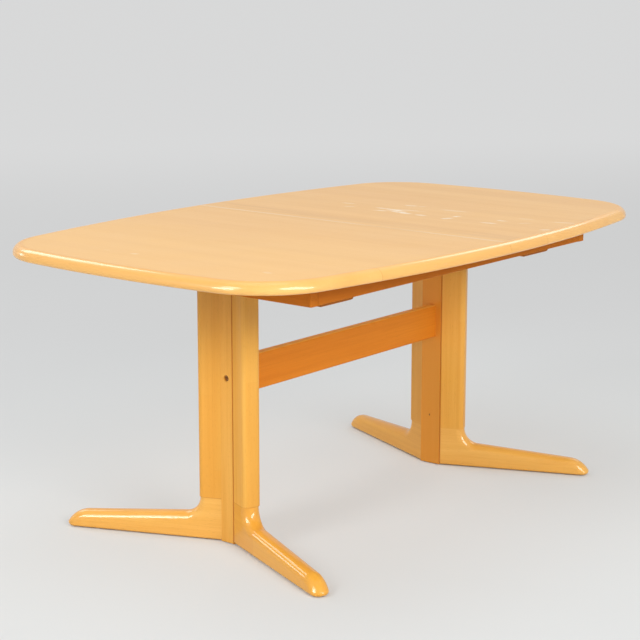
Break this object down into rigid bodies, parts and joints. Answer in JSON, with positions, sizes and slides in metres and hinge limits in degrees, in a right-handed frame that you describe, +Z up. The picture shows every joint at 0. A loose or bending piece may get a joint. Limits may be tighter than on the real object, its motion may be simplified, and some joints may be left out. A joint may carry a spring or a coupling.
{
  "type": "extending dining table",
  "caption": "Extending wooden dining table: bowed top in sliding halves on splayed pedestals joined by a stretcher, with a leaf stored in the frame.",
  "frame": {"origin": "on the floor under the middle of the closed top", "axes": "+X along the table towards the far half, +Y to its left side, +Z up"},
  "size_m": [1.6, 1, 0.72],
  "materials": {
    "top_veneer": "clear satin lacquer on light veneer",
    "lipping_wood": "clear lacquer on light solid wood",
    "leaf_veneer": "clear satin lacquer on light veneer",
    "leaf_lipping_wood": "clear lacquer on light solid wood",
    "leg_wood": "clear lacquer on light solid wood",
    "post_wood": "clear lacquer on light solid wood",
    "stretcher_wood": "clear lacquer on light solid wood",
    "frame_wood": "clear lacquer on light solid wood",
    "slide_wood": "waxed hardwood",
    "dowel_wood": "plain hardwood",
    "bush_plastic": "moulded",
    "glide_plastic": "moulded",
    "fastener_steel": "zinc plated"
  },
  "bodies": {
    "base": {"barrel_nuts": "fastener_steel", "bolt_washers": "fastener_steel", "cross_rail_screws": "fastener_steel", "far_bearer": "frame_wood", "far_cross_rail": "frame_wood", "far_left_column": "leg_wood", "far_left_foot": "leg_wood", "far_leg_dowels": "dowel_wood", "far_post": "post_wood", "far_right_column": "leg_wood", "far_right_foot": "leg_wood", "floor_glides": "glide_plastic", "glide_nails": "fastener_steel", "guide_screws": "fastener_steel", "leaf_bushes": "bush_plastic", "leaf_lippings": "leaf_lipping_wood", "leaf_panel": "leaf_veneer", "leaf_pins": "dowel_wood", "left_guide_bar": "slide_wood", "left_side_rail": "frame_wood", "near_bearer": "frame_wood", "near_cross_rail": "frame_wood", "near_left_column": "leg_wood", "near_left_foot": "leg_wood", "near_leg_dowels": "dowel_wood", "near_post": "post_wood", "near_right_column": "leg_wood", "near_right_foot": "leg_wood", "pedestal_screws": "fastener_steel", "right_guide_bar": "slide_wood", "right_side_rail": "frame_wood", "side_rail_dowels": "dowel_wood", "stretcher": "stretcher_wood", "stretcher_bolts": "fastener_steel", "stretcher_dowels": "dowel_wood"},
    "near_half": {"near_panel": "top_veneer", "near_end_lipping": "lipping_wood", "near_left_lipping": "lipping_wood", "near_right_lipping": "lipping_wood", "near_end_rail": "frame_wood", "near_left_runner": "slide_wood", "near_right_runner": "slide_wood", "near_tongues": "dowel_wood", "near_screws": "fastener_steel", "seam_pins": "dowel_wood", "hook_pivots": "fastener_steel"},
    "far_half": {"far_panel": "top_veneer", "far_end_lipping": "lipping_wood", "far_left_lipping": "lipping_wood", "far_right_lipping": "lipping_wood", "far_end_rail": "frame_wood", "far_left_runner": "slide_wood", "far_right_runner": "slide_wood", "far_tongues": "dowel_wood", "far_screws": "fastener_steel", "seam_bushes": "bush_plastic", "hook_studs": "fastener_steel"},
    "left_hook": {"left_hook": "fastener_steel"},
    "right_hook": {"right_hook": "fastener_steel"}
  },
  "joints": [
    {"name": "near_half_slide", "type": "slide", "parent": "base", "child": "near_half", "axis": [-1, 0, 0], "range_m": [0, 0.26]},
    {"name": "far_half_slide", "type": "slide", "parent": "base", "child": "far_half", "axis": [1, 0, 0], "range_m": [0, 0.26]},
    {"name": "left_hook_swing", "type": "hinge", "parent": "near_half", "child": "left_hook", "pos_m": [-0.028, 0.3775, 0.6895], "axis": [0, 0, -1], "range_deg": [0, 180]},
    {"name": "right_hook_swing", "type": "hinge", "parent": "near_half", "child": "right_hook", "pos_m": [-0.028, -0.3775, 0.6895], "axis": [0, 0, 1], "range_deg": [0, 180]}
  ]
}
